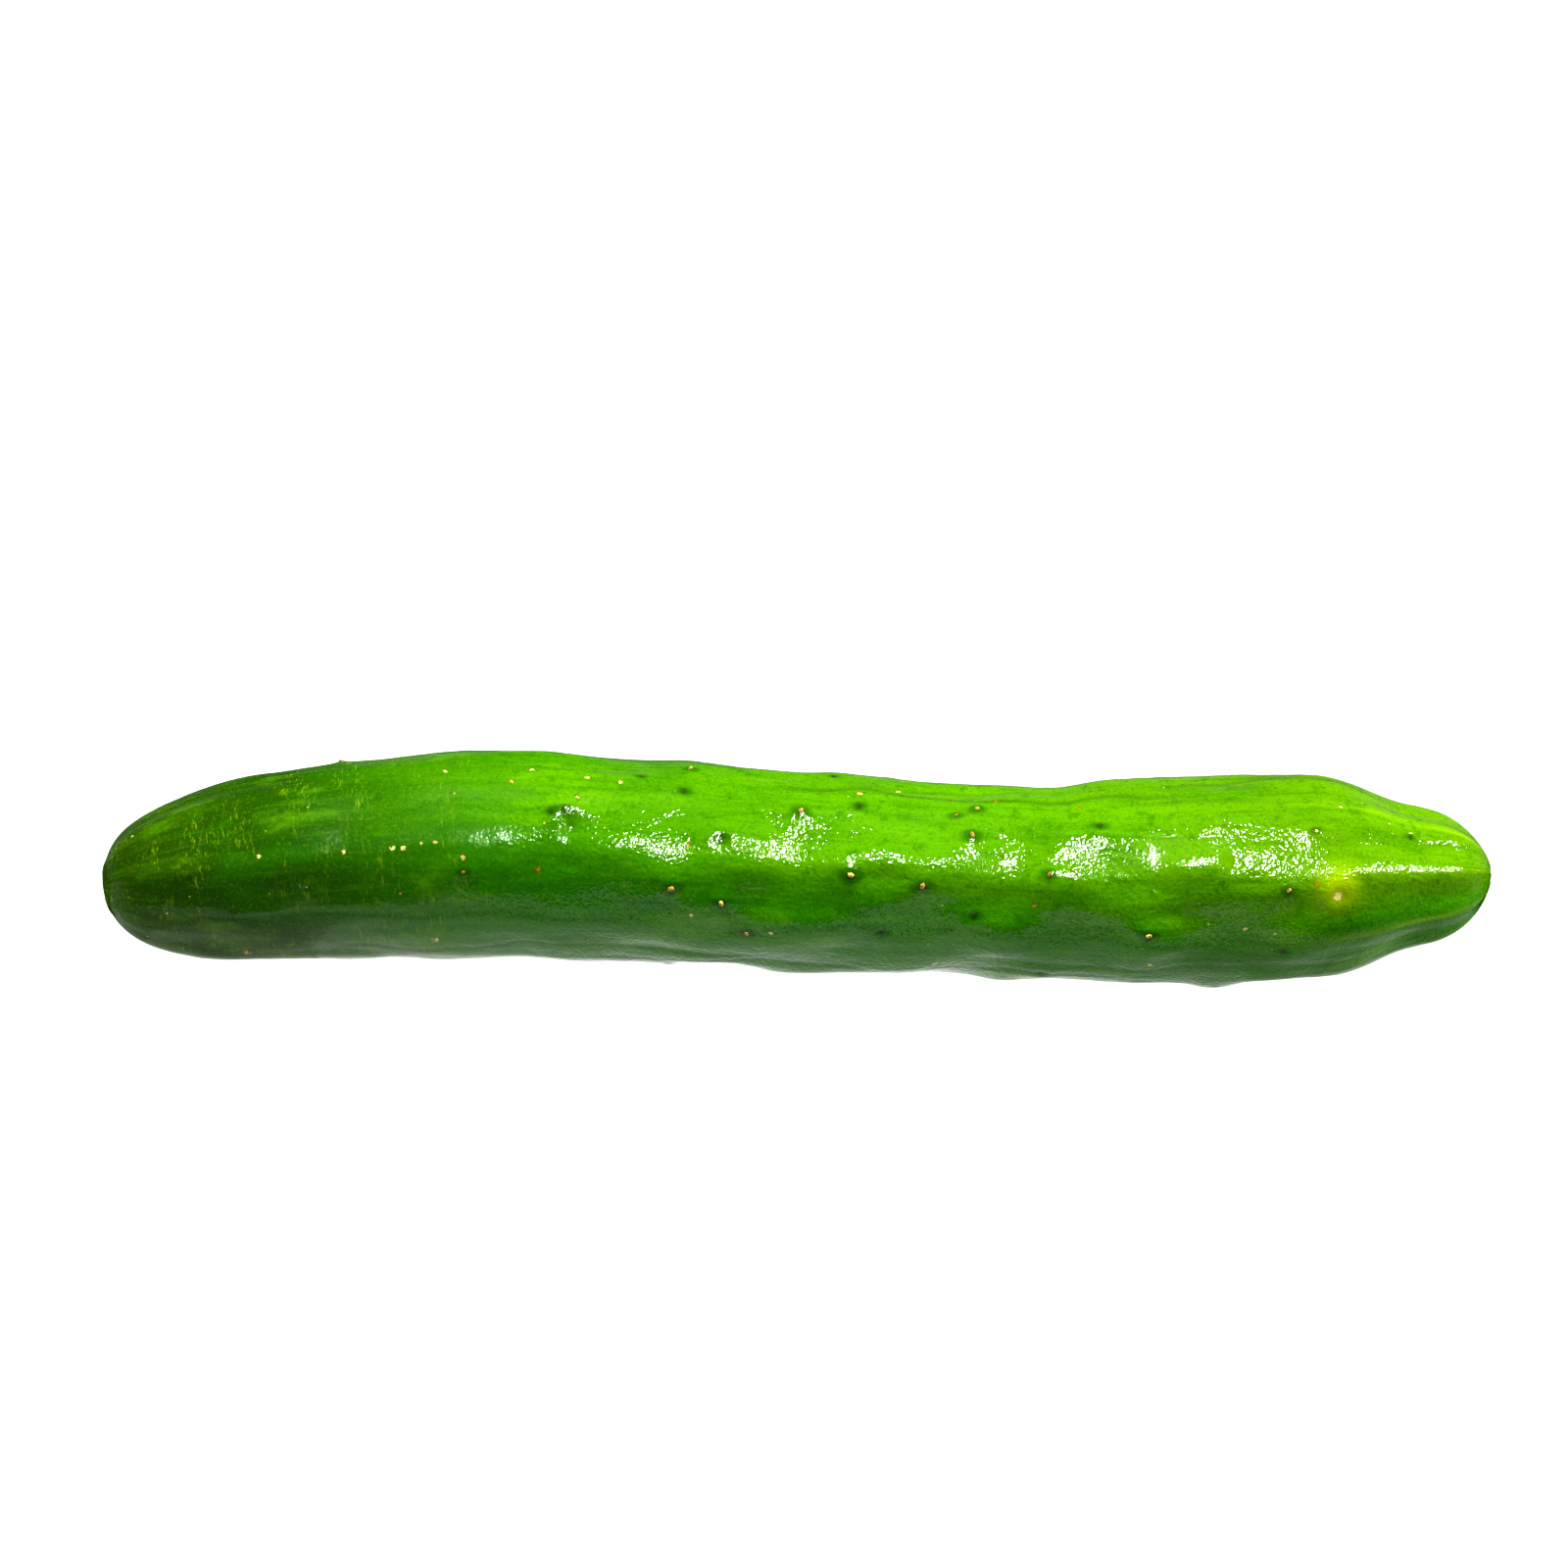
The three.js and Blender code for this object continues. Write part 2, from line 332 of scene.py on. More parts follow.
def relief_at(share, angle, radius):
    """Everything that makes the section other than round, fading to nothing at the tips."""
    towards_stem = 1 - smoothstep(share * LENGTH, 0, RIB_REACH)
    towards_blossom = 1 - smoothstep((1 - share) * LENGTH, 0, RIB_REACH)
    rib_height = RIB_HEIGHT + STEM_RIB_HEIGHT * towards_stem + BLOSSOM_RIB_HEIGHT * towards_blossom
    relief = LOBE_HEIGHT * np.cos(LOBES * (angle - math.radians(LOBE_ANGLE)))
    relief = relief + rib_height * np.cos(RIBS * (angle - math.radians(RIB_ANGLE)))
    for height, along, round_it, phase in SWELLS:
        relief = relief + height * np.sin(TURN * along * share + round_it * angle + phase)
    relief = relief + wart_relief(share, angle, radius) + unevenness(share, angle)
    relief = relief - dent_depth(share, angle, radius) - crease_at(share, angle, radius)
    return smoothstep(radius, 0, DIAMETER / 2) * relief


def stem_step(radius, angle):
    """How far the skin steps out of the stem tip: a sunken scar inside a lip, with a ragged corky floor."""
    lip = np.exp(-(((radius - SCAR_RADIUS) / SCAR_EDGE) ** 2))
    inside = 1 - smoothstep(radius, SCAR_RADIUS - 2 * SCAR_EDGE, SCAR_RADIUS)
    pit = SCAR_PIT_DEPTH * np.exp(-((radius / SCAR_PIT_RADIUS) ** 2))
    ring = SCAR_RING_HEIGHT * np.exp(-(((radius - SCAR_RING_RADIUS) / SCAR_RING_WIDTH) ** 2))
    fibres = 0
    for height, spokes, twist, phase in SCAR_FIBRES:
        fibres = fibres + height * np.sin(spokes * angle + twist * radius + phase)
    return SCAR_LIP * lip - inside * (SCAR_DEPTH + pit - ring + fibres * smoothstep(radius, 0.3, 1.4))


def blossom_step(radius, angle):
    """How far the skin steps out of the blossom tip: a small dry nub with a puckered rim."""
    nub = 1 - smoothstep(radius, 0, NUB_RADIUS)
    rim = np.exp(-(((radius - PUCKER_RADIUS) / PUCKER_WIDTH) ** 2))
    return NUB_HEIGHT * nub + PUCKER_HEIGHT * np.cos(RIBS * angle) * rim


def raw_skin(share, angle):
    """Points of the skin: sections square to the axis, with the underside pressed flat at Z = 0."""
    reach = 1e-4
    along = axis_at(np.minimum(share + reach, 1)) - axis_at(np.maximum(share - reach, 0))
    along = along / np.linalg.norm(along, axis=-1, keepdims=True)
    back = np.stack([-along[..., 1], along[..., 0], 0 * along[..., 0]], -1)
    back = back / np.linalg.norm(back, axis=-1, keepdims=True)
    up = np.cross(along, back)
    round_radius = radius_at(share)
    radius = round_radius + relief_at(share, angle, round_radius)
    shift = np.where(share < 0.5, -stem_step(radius, angle), blossom_step(radius, angle))
    around = -np.cos(angle)[..., None] * back + np.sin(angle)[..., None] * up
    points = axis_at(share) + radius[..., None] * around + shift[..., None] * along
    points[..., 2] = np.maximum(points[..., 2], 0)
    return points


def stations():
    """Shares of the length where the rings stand: even in the middle, gathered towards each tip."""
    ring = np.linspace(0, 1, RINGS + 1)
    from_tip = np.minimum(ring, 1 - ring)
    end_share = END_RINGS / (END_GATHER * (1 - 2 * END_RINGS) + 2 * END_RINGS)
    middle = end_share + (from_tip - END_RINGS) * (1 - 2 * end_share) / (1 - 2 * END_RINGS)
    near_tip = end_share * (np.minimum(from_tip, END_RINGS) / END_RINGS) ** END_GATHER
    share = np.where(from_tip < END_RINGS, near_tip, middle)
    return np.where(ring < 0.5, share, 1 - share)


SHARES = stations()[:, None]
ANGLES = (np.radians(SEAM_ANGLE) + TURN * np.arange(SECTORS) / SECTORS)[None, :]
RAW = raw_skin(SHARES, ANGLES)
SOLID_LOW, SOLID_HIGH = (np.array(corner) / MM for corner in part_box("cucumber"))
RAW_LOW, RAW_HIGH = RAW.min((0, 1)), RAW.max((0, 1))


def seated(points):
    """Moves points of the skin so that it fills the solid's box exactly, and turns them into metres."""
    share_of_box = (points - RAW_LOW) / (RAW_HIGH - RAW_LOW)
    return (SOLID_LOW + share_of_box * (SOLID_HIGH - SOLID_LOW)) * MM


def mesh_piece(name, points, faces, marks=None):
    """A smooth-shaded mesh object at the origin, with its marks kept as attributes of its points."""
    mesh = bpy.data.meshes.new(name)
    mesh.from_pydata(points.tolist(), [], faces)
    mesh.polygons.foreach_set("use_smooth", np.ones(len(mesh.polygons), bool))
    for mark, values in (marks or {}).items():
        kind, field = ("FLOAT_VECTOR", "vector") if values.ndim == 2 else ("FLOAT", "value")
        attribute = mesh.attributes.new(mark, kind, "POINT")
        attribute.data.foreach_set(field, values.astype(np.float32).ravel())
    mesh.update()
    piece = bpy.data.objects.new(name, mesh)
    bpy.context.scene.collection.objects.link(piece)
    return piece


def grid_faces(rings, sectors):
    """Faces of a grid closed round itself, whose first and last rings have shrunk to one point each."""
    ring, sector = np.meshgrid(np.arange(rings - 3), np.arange(sectors), indexing="ij")
    here = 1 + ring * sectors + sector
    beside = 1 + ring * sectors + (sector + 1) % sectors
    quads = np.stack([here, here + sectors, beside + sectors, beside], -1).reshape(-1, 4)
    last = 1 + (rings - 2) * sectors
    first_ring = 1 + np.arange(sectors)
    last_ring = first_ring + (rings - 3) * sectors
    stem_fan = np.stack([0 * first_ring, first_ring, np.roll(first_ring, -1)], -1)
    blossom_fan = np.stack([0 * last_ring + last, np.roll(last_ring, -1), last_ring], -1)
    return quads.tolist() + stem_fan.tolist() + blossom_fan.tolist()


def on_grid(values):
    """Values on the grid as the mesh holds them: one for each tip, and every point between."""
    values = np.broadcast_to(values, (RINGS + 1, SECTORS, *values.shape[2:]))
    return np.concatenate([values[:1, 0], values[1:-1].reshape(-1, *values.shape[2:]), values[-1:, 0]])


def skin_marks(share, angle):
    """What the finish needs to know of each place: how near a wart, rib, crease, blemish or scar is."""
    radius = radius_at(share)
    # halos of painted shade round the warts and in the dents, and a spot in each wart's middle
    halo, pit = 0, 0
    for at_share, at_angle, size, stubbed in WARTS:
        spread = math.sqrt(size)
        darkness, reach, longer = STUBBED_WART_SHADE if stubbed else BARE_WART_SHADE
        halo = halo + darkness * bell(share, angle, radius, at_share, at_angle, reach * spread, longer)
        pit = pit + bell(share, angle, radius, at_share, at_angle, PIT_SPREAD * spread)
    # painted shade in the dents, darker where they are deeper
    for at_share, at_angle, half_width, deep in DENTS:
        halo = halo + DENT_SHADE * deep * bell(share, angle, radius, at_share, at_angle, 0.8 * half_width)
    crest = np.maximum(np.cos(RIBS * (angle - math.radians(RIB_ANGLE))), 0) ** 10
    blossom = smoothstep(share, 0.76, 0.985)
    stem = 1 - smoothstep(share, 0.0, 0.16)
    blemish = bell(share, angle, radius, *BLEMISH, BLEMISH_RADIUS * 0.72, 0.75)
    ring = bell(share, angle, radius, BLEMISH[0], BLEMISH[1] + YELLOW_RING_RISE, YELLOW_RING_RADIUS)
    scar = 1 - smoothstep(radius, SCAR_RADIUS - 0.5, SCAR_RADIUS + 0.25)
    nub = 1 - smoothstep(radius, NUB_RADIUS * 0.7, NUB_RADIUS * 1.5)
    smooth = sum(bell(share, angle, radius, *patch, 1.7) for patch in SMOOTH_PATCHES)
    marks = {
        "along": share + 0 * angle,
        "smooth": np.clip(smooth, 0, 1),
        "halo": np.clip(halo, 0, 1),
        "pit": np.clip(pit, 0, 1),
        "rib_line": crest * (blossom + 0.1 * stem),
        # where the creases lie, used only for painted shade along them
        "crease": np.clip(crease_at(share, angle, radius) / 0.12, 0, 1),
        "blemish": blemish,
        "yellow_ring": ring,
        "scar": np.where(share < 0.5, scar, 0) + 0 * angle,
        "nub": np.where(share > 0.5, nub, 0) + 0 * angle,
        "place": straightened(share, angle),
    }
    return {name: on_grid(values) for name, values in marks.items()}


def unroll(piece):
    """The skin's own map: across it the way along the outline, and up it the angle from the seam."""
    mesh = piece.data
    profile = np.stack([SHARES[:, 0] * LENGTH, radius_at(SHARES[:, 0])], -1)
    walked = np.concatenate([[0], np.cumsum(np.linalg.norm(np.diff(profile, axis=0), axis=1))])
    across = walked / walked[-1]
    corner_points = np.zeros(len(mesh.loops), int)
    mesh.loops.foreach_get("vertex_index", corner_points)
    ring = (corner_points - 1) // SECTORS + 1
    sector = (corner_points - 1) % SECTORS
    face_of = np.repeat(np.arange(len(mesh.polygons)), [p.loop_total for p in mesh.polygons])
    first_corner = np.searchsorted(face_of, np.arange(len(mesh.polygons)))
    is_tip = (corner_points == 0) | (corner_points == len(mesh.vertices) - 1)
    ring = np.where(corner_points == 0, 0, np.where(corner_points == len(mesh.vertices) - 1, RINGS, ring))
    highest = np.maximum.reduceat(np.where(is_tip, -1, sector), first_corner)[face_of]
    wraps = (highest == SECTORS - 1) & (sector == 0) & ~is_tip
    up = np.where(wraps, SECTORS, sector) / SECTORS
    up = np.where(is_tip, (highest + 0.5) / SECTORS, up)
    chart = mesh.uv_layers.new(name="OFBake")
    chart.data.foreach_set("uv", np.stack([across[ring], up], -1).astype(np.float32).ravel())


def make_skin():
    points = on_grid(seated(RAW))
    faces = grid_faces(RINGS + 1, SECTORS)
    piece = mesh_piece("cucumber_skin", points, faces, skin_marks(SHARES, ANGLES))
    unroll(piece)
    return piece


def skin_frame(share, angle):
    """A point of the finished skin and the three directions there: along, round and straight out."""
    near = 2e-3
    shares = np.array([share, share - near, share + near, share, share])
    angles = np.array([angle, angle, angle, angle - near * 6, angle + near * 6])
    at, behind, ahead, before, after = seated(raw_skin(shares, angles))
    along = (ahead - behind) / np.linalg.norm(ahead - behind)
    out = np.cross(along, after - before)
    out = out / np.linalg.norm(out)
    return at, along, np.cross(out, along), out


STUB_RADIUS = 0.42
STUB_HEIGHT = 0.38
STUB_HOLLOW = 0.1
STUB_SUNK = 0.12
STUB_TAPER = 0.45
STUB_LEAN = 0.2
STUB_RINGS = 5
STUB_SIDES = 10
STUB_SEED = 11
HOLLOW_LEVEL = 1.5
RUBBED_OFF_BELOW = 8


def stands_clear(share, angle):
    """Whether a stub there stands well clear of what the fruit lies on, which rubs the lowest ones off."""
    return skin_frame(share, math.radians(angle))[0][2] > RUBBED_OFF_BELOW * MM


def one_stub(share, angle, size, draw):
    """A dry spine's stub: a low knobbly cone, broken off to a small hollow, its foot sunk into the wart."""
    at, along, round_it, out = skin_frame(share, math.radians(angle))
    level = np.linspace(0, 1, STUB_RINGS)[:, None]
    turn = (-TURN * np.arange(STUB_SIDES) / STUB_SIDES)[None, :]
    wide = STUB_RADIUS * math.sqrt(size) * (1 - STUB_TAPER * level**1.6)
    knobs = 1 + 0.22 * np.sin(2 * turn + draw.uniform(0, TURN)) + 0.15 * np.sin(5 * turn + 4 * level)
    lean = draw.uniform(-STUB_LEAN, STUB_LEAN, 2)
    height = STUB_HEIGHT * math.sqrt(size) * level - STUB_SUNK
    x = wide * knobs * np.cos(turn) + lean[0] * level**2
    y = wide * knobs * np.sin(turn) + lean[1] * level**2
    z = height + 0 * turn
    rings = at + (x[..., None] * along + y[..., None] * round_it + z[..., None] * out) * MM
    foot, hollow = rings[:1].mean(1), rings[-1:].mean(1) - out * STUB_HOLLOW * MM
    points = np.concatenate([foot, rings.reshape(-1, 3), hollow])
    levels = np.concatenate([[0], np.repeat(level[:, 0], STUB_SIDES), [HOLLOW_LEVEL]])
    return points, levels


def make_stubs():
    """All the stubs as one mesh, each with its own shade and each point with its level from foot to tip."""
    draw = np.random.default_rng(STUB_SEED)
    points, levels, faces, shades = [], [], [], []
    one = grid_faces(STUB_RINGS + 2, STUB_SIDES)
    for share, angle, size, stubbed in WARTS:
        if not (stubbed and stands_clear(share, angle)):
            continue
        stub, stub_levels = one_stub(share, angle, size, draw)
        start = sum(len(done) for done in points)
        faces += [[start + corner for corner in face] for face in one]
        points.append(stub)
        levels.append(stub_levels)
        shades.append(np.full(len(stub), draw.uniform()))
    marks = {"level": np.concatenate(levels), "shade": np.concatenate(shades)}
    return mesh_piece("spine_stubs", np.concatenate(points), faces, marks)


class Shade:
    """A value that varies over a surface. Arithmetic on it adds Math nodes to its finish."""

    def __init__(self, finish, socket):
        self.finish = finish
        self.socket = socket

    def __add__(self, other):
        return self.finish.math("ADD", self, other)

    def __sub__(self, other):
        return self.finish.math("SUBTRACT", self, other)

    def __rsub__(self, other):
        return self.finish.math("SUBTRACT", other, self)

    def __mul__(self, other):
        return self.finish.math("MULTIPLY", self, other)

    def __truediv__(self, other):
        return self.finish.math("DIVIDE", self, other)

    __radd__ = __add__
    __rmul__ = __mul__


class Finish:
    """A material as it is mixed: every node comes from add(), and its outputs are Shades."""

    def __init__(self, name):
        self.material = bpy.data.materials.new(name)
        self.material.use_nodes = True
        self.tree = self.material.node_tree
        self.tree.nodes.clear()

    def add(self, kind, settings=None, inputs=None, output=0):
        """Adds a node: its settings first, then the values or links of its sockets. Returns one output."""
        node = self.tree.nodes.new("ShaderNode" + kind)
        for name, value in (settings or {}).items():
            if name == "stops":
                self.set_stops(node.color_ramp, value)
            else:
                setattr(node, name, value)
        for socket, value in (inputs or {}).items():
            if isinstance(value, Shade):
                self.tree.links.new(value.socket, node.inputs[socket])
            else:
                node.inputs[socket].default_value = value
        return Shade(self, node.outputs[output]) if node.outputs else node

    @staticmethod
    def set_stops(ramp, stops):
        while len(ramp.elements) < len(stops):
            ramp.elements.new(1)
        for element, (place, colour) in zip(ramp.elements, stops):
            element.position = place
            element.color = (*colour, 1)

    def math(self, operation, a, b=0.0):
        return self.add("Math", {"operation": operation}, {0: a, 1: b})

    def mark(self, name, output="Fac"):
        return self.add("Attribute", {"attribute_name": name}, output=output)

    def step(self, value, low, high):
        """0 where value is below low, 1 above high, a smooth S between them; low may be above high."""
        settings = {"interpolation_type": "SMOOTHSTEP"}
        return self.add("MapRange", settings, {"Value": value, "From Min": low, "From Max": high})

    def stretch(self, vector, x, y, z):
        """A vector with each of its three numbers multiplied, so that a pattern is drawn out or packed."""
        return self.add("VectorMath", {"operation": "MULTIPLY"}, {0: vector, 1: (x, y, z)})

    def grain_in_mm(self):
        """The place in space, in millimetres, for a grain that runs the same way everywhere."""
        return self.stretch(self.add("TexCoord", output="Object"), 1 / MM, 1 / MM, 1 / MM)

    def noise(self, vector, scale, detail=2.0, roughness=0.5):
        inputs = {"Vector": vector, "Scale": scale, "Detail": detail, "Roughness": roughness}
        return self.add("TexNoise", None, inputs)

    def blend(self, share, under, over, how="MIX"):
        """One colour laid over another, by a share."""
        settings = {"data_type": "RGBA", "blend_type": how, "clamp_factor": True}
        colours = {6: self.colour(under), 7: self.colour(over)}
        return self.add("Mix", settings, {0: share, **colours}, output=2)

    @staticmethod
    def colour(value):
        return value if isinstance(value, Shade) else (*value, 1)

    def surface(self, **sockets):
        """Ends the material with one Principled shader and the output."""
        named = {}
        for name, value in sockets.items():
            named[name.replace("_", " ").title().replace("Ior", "IOR")] = value
        shader = self.add("BsdfPrincipled", None, named)
        self.add("OutputMaterial", None, {"Surface": shader})
        return self.material


class SkinFinish(Finish):
    """The glossy green skin, mixed coat by coat: each coat lies over the green so far, by a share."""

    def __init__(self):
        super().__init__("waxy_green_skin")
        self.place = self.mark("place", "Vector")
        self.along = self.mark("along")
        self.grain = self.grain_in_mm()
        self.patches = self.pattern(0.35, 0.11, 3)
        self.clouds = self.pattern(0.45, 0.14, 4, 0.6)
        self.calm = self.step(self.along + 0.25 * (self.clouds - 0.5), 0.36, 0.24)
        self.mottle = self.noise(self.grain, 0.5, 3, 0.6)
        self.speckle = self.noise(self.grain, 2.2, 2, 0.7)

    def pattern(self, lengthwise, scale, detail=2.0, roughness=0.5, crosswise=1):
        """Noise that follows the skin. The smaller lengthwise is, the longer its spots are."""
        drawn_out = self.stretch(self.place, lengthwise, crosswise, crosswise)
        return self.noise(drawn_out, scale, detail, roughness)

    def coat(self, share, colour, how="MIX"):
        self.green = self.blend(share, self.green, colour, how)

    def broad_colour(self):
        """Dark at the stem, bright in the middle and yellower at the blossom, unevenly blended."""
        stops = [
            (0.0, (0.036, 0.08, 0.001)),
            (0.12, (0.028, 0.095, 0.001)),
            (0.3, (0.088, 0.285, 0.001)),
            (0.62, (0.12, 0.34, 0.001)),
            (0.86, (0.135, 0.32, 0.001)),
            (1.0, (0.15, 0.34, 0.003)),
        ]
        drifted = self.along + 0.16 * (self.patches - 0.5)
        self.green = self.add("ValToRGB", {"stops": stops}, {0: drifted})

    def painted_shade_below(self):
        """Painted shade: a deeper, less yellow green low on the fruit, reaching higher towards the stem end.
        """
        height_up = self.add("SeparateXYZ", None, {0: self.place}, "Z")
        edge = 7 * (self.patches - 0.5) + 14 * (self.math("MINIMUM", self.along, 0.6) - 0.6)
        shaded = self.step(height_up + edge, 13, 4) * (0.25 + 0.75 * self.step(self.along, 0.1, 0.3))
        # painted shade, multiplied over the green below the top of the fruit
        self.coat(shaded, (0.42, 0.8, 1.0), "MULTIPLY")

    def patches_and_streaks(self):
        """Paler and darker clouds, streaks that run along the fruit, mottling and a fine speckle."""
        self.coat(self.step(self.clouds, 0.5, 0.7) * 0.45, (0.17, 0.42, 0.002))
        self.coat(self.step(self.clouds, 0.48, 0.3) * 0.4, (0.035, 0.19, 0.001))
        streaks = self.pattern(0.07, 0.85, 4, 0.6)
        self.coat(self.step(streaks, 0.5, 0.78) * (0.3 - 0.14 * self.calm), (0.19, 0.5, 0.002))
        self.coat(self.step(streaks, 0.5, 0.24) * (0.4 - 0.15 * self.calm), (0.02, 0.12, 0.001))
        self.coat(self.step(self.mottle, 0.48, 0.25) * 0.5, (0.02, 0.14, 0.001))
        paler = self.blend(0.5, self.green, (0.3, 0.5, 0.002))
        self.coat(self.step(self.speckle, 0.5, 0.75) * 0.4, paler)
        self.coat(self.step(self.speckle, 0.48, 0.28) * 0.45, (0.015, 0.12, 0.001))

    def ribs_and_creases(self):
        """Broken pale lines on the ribs towards the ends, and painted shade along the creases."""
        broken = self.step(self.pattern(0.12, 1.3, 3), 0.3, 0.62)
        self.coat(self.mark("rib_line") * broken * 0.6, (0.32, 0.54, 0.012))
        # painted shade: a darker green along the creases
        self.coat(self.mark("crease") * 0.55, (0.05, 0.13, 0.01))

    def warts(self):
        """Painted shade: a ragged dark halo round each wart and in each dent, and brown in the wart's pit.
        """
        ragged = self.mark("halo") + 0.9 * (self.mottle - 0.5) + 0.7 * (self.speckle - 0.5)
        # painted shade: dark green round the warts and in the dents
        self.coat(self.step(ragged, 0.2, 0.9) * 0.6, (0.012, 0.09, 0.002))
        pit = self.mark("pit") + 0.6 * (self.speckle - 0.5)
        self.coat(self.step(pit, 0.35, 0.8) * 0.6, (0.03, 0.05, 0.004))

    def scuffs(self):
        """Short bright scratches round the fruit, in patches near the stem. Returns where they are."""
        scratch = self.step(self.pattern(2.2, 1.0, 4, 0.7, 0.45), 0.52, 0.68)
        patchy = self.step(self.pattern(1.6, 0.13, 3, 0.5, 0.6), 0.44, 0.62)
        scuff = scratch * (patchy * self.step(self.along, 0.36, 0.2))
        self.coat(scuff * 0.65, (0.24, 0.36, 0.012))
        return scuff

    def scattered_flecks(self):
        """Small cream and yellow dots in some cells, larger where they crowd. Returns where they are."""
        scatter = {"Vector": self.grain, "Scale": 0.5, "Randomness": 1.0}
        cells = self.add("TexVoronoi", {"feature": "F1"}, scatter, "Distance")
        chance = self.add("TexVoronoi", {"feature": "F1"}, scatter, "Color")
        crowded = self.step(self.noise(self.place, 0.07, 2), 0.4, 0.65)
        dice = self.add("SeparateColor", None, {0: chance}, "Red")
        reach = self.step(dice, 0.5, 1.0) * (0.07 + 0.1 * crowded - 0.05 * self.along)
        fleck = self.step(cells - reach, 0.0, -0.03)
        tint = self.add("SeparateColor", None, {0: chance}, "Green")
        self.coat(fleck * 0.75, self.blend(tint, (0.5, 0.34, 0.06), (0.75, 0.78, 0.3)))
        return fleck

    def placed_flecks(self):
        """The larger flecks, each where it grew: cream to brown, with a ragged dark edge."""
        nearest = 9.0
        for share, angle, size in FLECKS:
            turned = math.radians(angle)
            at = (share * LENGTH, DIAMETER / 2 * math.cos(turned), DIAMETER / 2 * math.sin(turned))
            away = self.add("VectorMath", {"operation": "DISTANCE"}, {0: self.place, 1: at}, "Value")
            nearest = self.math("MINIMUM", away / size, nearest)
        ragged = nearest + 4.0 * (self.speckle - 0.5)
        self.coat(self.step(ragged, 1.5, 1.0) * 0.6, (0.07, 0.07, 0.002))
        browned = self.step(self.noise(self.place, 0.21), 0.42, 0.58)
        dried = self.blend(browned, (0.5, 0.24, 0.02), (0.85, 0.85, 0.3))
        self.coat(self.step(ragged, 1.0, 0.6) * 0.8, dried)

    def blemish(self):
        """The healed blemish: a torn scab, brown at the edge, in a yellow ring."""
        self.coat(self.mark("yellow_ring") * 0.85, (0.5, 0.68, 0.002))
        torn = self.mark("blemish") + 1.3 * (self.speckle - 0.5)
        scab = self.blend(self.step(torn, 0.4, 0.65), (0.45, 0.26, 0.01), (0.9, 0.8, 0.3))
        self.coat(self.step(torn, 0.35, 0.6), scab)

    def dry_ends(self):
        """Cork on the stem scar and the blossom nub. Returns where it is, and its grain."""
        cork = self.noise(self.grain, 1.4, 4, 0.7)
        dry = self.math("MAXIMUM", self.mark("scar"), self.mark("nub"))
        self.coat(dry, self.blend(cork, (0.17, 0.11, 0.045), (0.5, 0.4, 0.2)))
        return dry, cork

    def mix(self):
        """All the coats in turn, then the leathery grain and crinkles under the gloss, and the gloss."""
        self.broad_colour()
        self.painted_shade_below()
        self.patches_and_streaks()
        self.ribs_and_creases()
        self.warts()
        scuff = self.scuffs()
        fleck = self.scattered_flecks()
        self.placed_flecks()
        self.blemish()
        dry, cork = self.dry_ends()

        fine = self.noise(self.grain, 1.5, 1, 0.5)
        crinkles = self.pattern(0.6, 0.45)
        smooth = self.step(self.mark("smooth") + 1.6 * (self.mottle - 0.5), 0.25, 0.7)
        leathery = (1.25 * fine + 1.1 * crinkles) * (1 - 0.7 * self.calm) * (1 - 0.45 * smooth)
        height = leathery + 1.5 * dry * cork
        bump = self.add("Bump", None, {"Strength": 1.0, "Distance": 0.1 * MM, "Height": height})
        bloom = self.step(self.pattern(0.5, 0.13), 0.45, 0.62)
        duller = 0.04 * bloom + 0.04 * smooth + 0.14 * self.calm + 0.1 * scuff + 0.5 * dry + 0.3 * fleck
        return self.surface(
            base_color=self.green, roughness=0.06 + duller, normal=bump, ior=1.46, specular_ior_level=0.5
        )


def stub_finish():
    """Dry spine stubs: cream to yellow, brown at the foot and in the hollow of the tip."""
    f = Finish("dry_spine")
    speckle = f.noise(f.grain_in_mm(), 2.4, 3, 0.7)
    dry = f.blend(f.mark("shade"), (0.4, 0.25, 0.02), (0.78, 0.66, 0.17))
    dry = f.blend(f.step(speckle, 0.52, 0.7) * 0.6, dry, (0.3, 0.17, 0.01))
    dry = f.blend(f.step(f.mark("level"), 0.4, 0.1) * 0.85, dry, (0.1, 0.06, 0.004))
    dry = f.blend(f.step(f.mark("level"), 1.05, 1.4) * 0.8, dry, (0.12, 0.07, 0.01))
    bump = f.add("Bump", None, {"Strength": 0.8, "Distance": 0.15 * MM, "Height": speckle})
    return f.surface(base_color=dry, roughness=0.55 + 0.2 * speckle, normal=bump)


def dress(piece, material):
    piece.data.materials.append(material)
    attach(piece, "root")


skin = make_skin()
dress(skin, SkinFinish().mix())
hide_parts("cucumber")
stubs = make_stubs()
dress(stubs, stub_finish())


# Stage: a pale floor, soft lamps for the colour, small windows for the highlights and a glow on the floor
FLOOR_SIZE = 6.0
FLOOR_DROP = 0.0001
WINDOW_DISTANCE = 0.9
SOFTBOXES = [  # name, elevation, distance, width, depth, watts, how far along the fruit
    ("overhead_softbox", 109, 0.9, 0.7, 0.35, 13, 0.12),
    ("blossom_softbox", 28, 0.35, 0.3, 0.3, 9, 1.3),
    ("stem_softbox", 15, 0.35, 0.3, 0.3, 12, -1.3),
]
WINDOWS = [  # name, elevation, width, depth, watts, how far along the fruit
    ("left_window", 70, 0.1, 0.13, 1.7, -0.005),
    ("middle_window", 79, 0.09, 0.13, 2.4, 0.09),
    ("right_window", 62, 0.1, 0.05, 0.42, 0.34),
    ("end_window", 59, 0.36, 0.06, 2.3, 0.8),
    ("tip_window", 73, 0.7, 0.24, 15, 1.65),
]
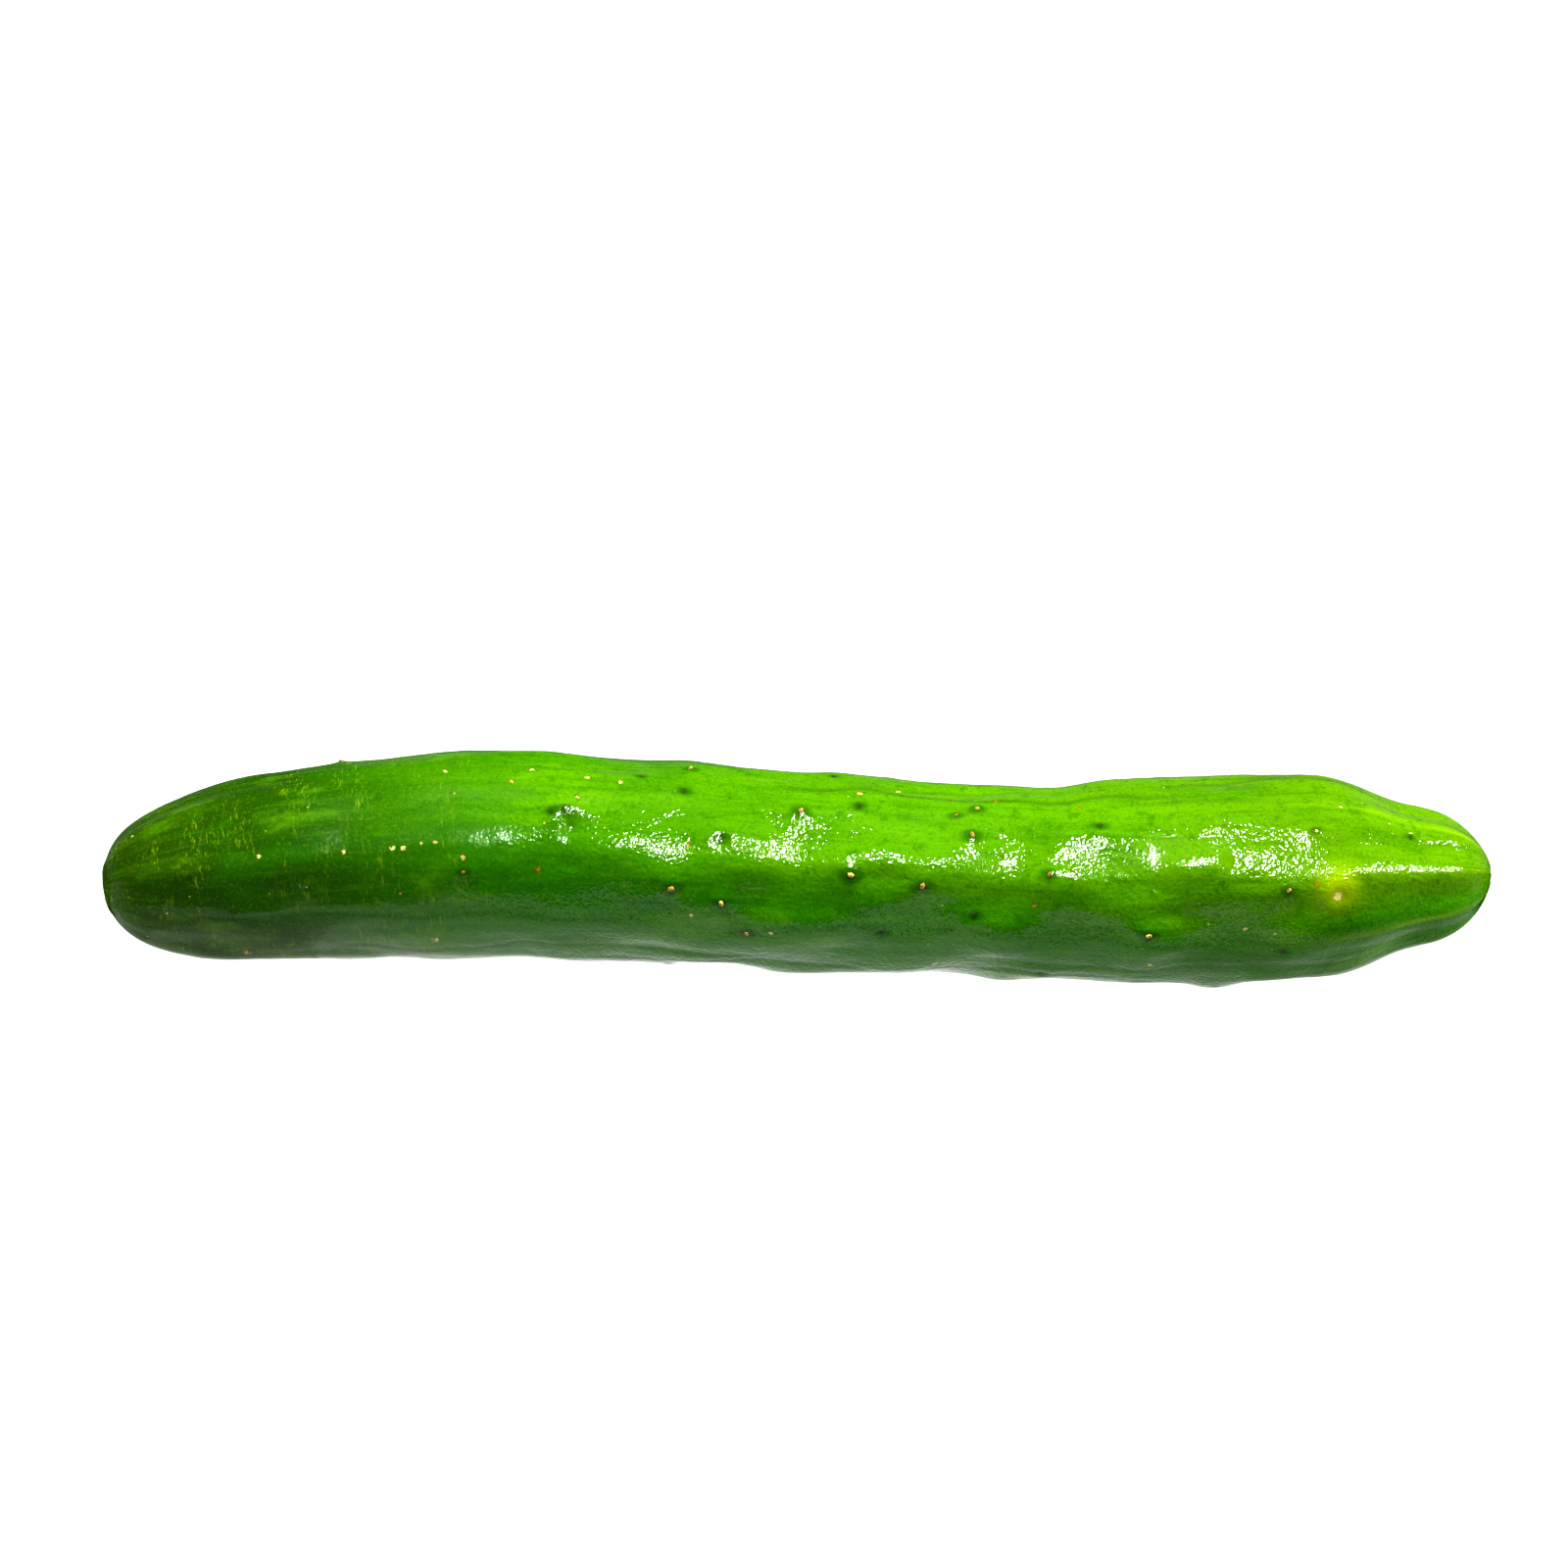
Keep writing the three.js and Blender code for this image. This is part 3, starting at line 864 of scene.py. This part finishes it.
FLOOR_GLOWS = [  # name, left, right, nearest and farthest edge, strength
    ("far_bounce", -0.2, 0.1, -0.06, -0.25, 1.0),
    ("left_bounce", -0.4, -0.105, 0, -0.05, 0.35),
    ("middle_bounce", -0.105, -0.075, 0, -0.05, 0.6),
    ("near_bounce", -0.075, 0.03, 0, -0.05, 0.95),
    ("right_bounce", 0.03, 0.05, 0, -0.05, 0.8),
    ("blossom_bounce", 0.05, 0.07, 0, -0.05, 0.65),
    ("nub_bounce", 0.07, 0.1, 0, -0.05, 0.5),
    ("last_bounce", 0.1, 0.16, 0, -0.05, 0.35),
    ("back_bounce", -0.4, 0.4, 0.02, 0.3, 0.15),
]
CAMERA_ELEVATION = 45
CAMERA_DISTANCE = 0.5406
CAMERA_AIM = (-0.00205, 0, 0.015)
CAMERA_RISE = 0.0134
CAMERA_LENS = 80
CAMERA_SENSOR = 36


def make_floor():
    edge = FLOOR_SIZE
    corners = [(-edge, -edge, 0), (edge, -edge, 0), (edge, edge, 0), (-edge, edge, 0)]
    floor = mesh_piece("floor", np.array(corners) - [0, 0, FLOOR_DROP], [[0, 1, 2, 3]])
    pale = Finish("pale_floor").surface(
        base_color=(0.25, 0.25, 0.25, 1), roughness=0.6, emission_color=(1, 1, 1, 1), emission_strength=0.8
    )
    floor.data.materials.append(pale)
    floor.visible_diffuse = False
    floor.visible_glossy = False


def rectangle_lamp(name, width, depth, watts, placing):
    data = bpy.data.lights.new(name, "AREA")
    data.shape = "RECTANGLE"
    data.size, data.size_y = width, depth
    data.energy = watts
    lamp = bpy.data.objects.new(name, data)
    bpy.context.scene.collection.objects.link(lamp)
    lamp.matrix_world = placing
    return lamp


def facing(place, target=Vector((0, 0, 0))):
    """Stands a lamp or camera at a place, looking at a target."""
    turned = (place - target).to_track_quat("Z", "Y").to_matrix().to_4x4()
    return Matrix.Translation(place) @ turned


def make_light(name, elevation, distance, width, depth, watts, across):
    """A lamp aimed at the fruit. Its elevation is measured from the front, over the top."""
    turned = math.radians(elevation)
    place = Vector((across, -math.cos(turned) * distance, math.sin(turned) * distance))
    return rectangle_lamp(name, width, depth, watts, facing(place))


def make_glow(name, left, right, nearest, farthest, strength):
    """A glow lying on the floor beside the fruit, facing up and seen only as a reflection in its skin."""
    width, depth = right - left, abs(farthest - nearest)
    middle = Vector(((left + right) / 2, (nearest + farthest) / 2, 0))
    placing = Matrix.Translation(middle) @ Matrix.Rotation(math.pi, 4, "X")
    lamp = rectangle_lamp(name, width, depth, strength * math.pi * width * depth, placing)
    lamp.visible_camera = False
    lamp.visible_diffuse = False


def make_camera():
    """Looks down at the fruit from the front, with the fruit a little below the middle of the view."""
    elevation = math.radians(CAMERA_ELEVATION)
    back = Vector((0, -math.cos(elevation), math.sin(elevation)))
    up = Vector((0, math.sin(elevation), math.cos(elevation)))
    aim = Vector(CAMERA_AIM) + up * CAMERA_RISE
    data = bpy.data.cameras.new("camera")
    data.lens, data.sensor_width = CAMERA_LENS, CAMERA_SENSOR
    data.clip_start, data.clip_end = 0.01, 50
    camera = bpy.data.objects.new("camera", data)
    bpy.context.scene.collection.objects.link(camera)
    camera.matrix_world = facing(aim + back * CAMERA_DISTANCE, aim)
    bpy.context.scene.camera = camera


make_floor()
for softbox in SOFTBOXES:
    make_light(*softbox).visible_glossy = False
for name, elevation, width, depth, watts, across in WINDOWS:
    make_light(name, elevation, WINDOW_DISTANCE, width, depth, watts, across).visible_diffuse = False
for glow in FLOOR_GLOWS:
    make_glow(*glow)
make_camera()

world = bpy.data.worlds.new("studio")
world.use_nodes = True
background = world.node_tree.nodes["Background"]
background.inputs["Color"].default_value = (1, 1, 1, 1)
background.inputs["Strength"].default_value = 0.16
world.cycles_visibility.glossy = False
bpy.context.scene.world = world
bpy.context.scene.view_settings.view_transform = "Standard"
bpy.context.scene.view_settings.look = "High Contrast"
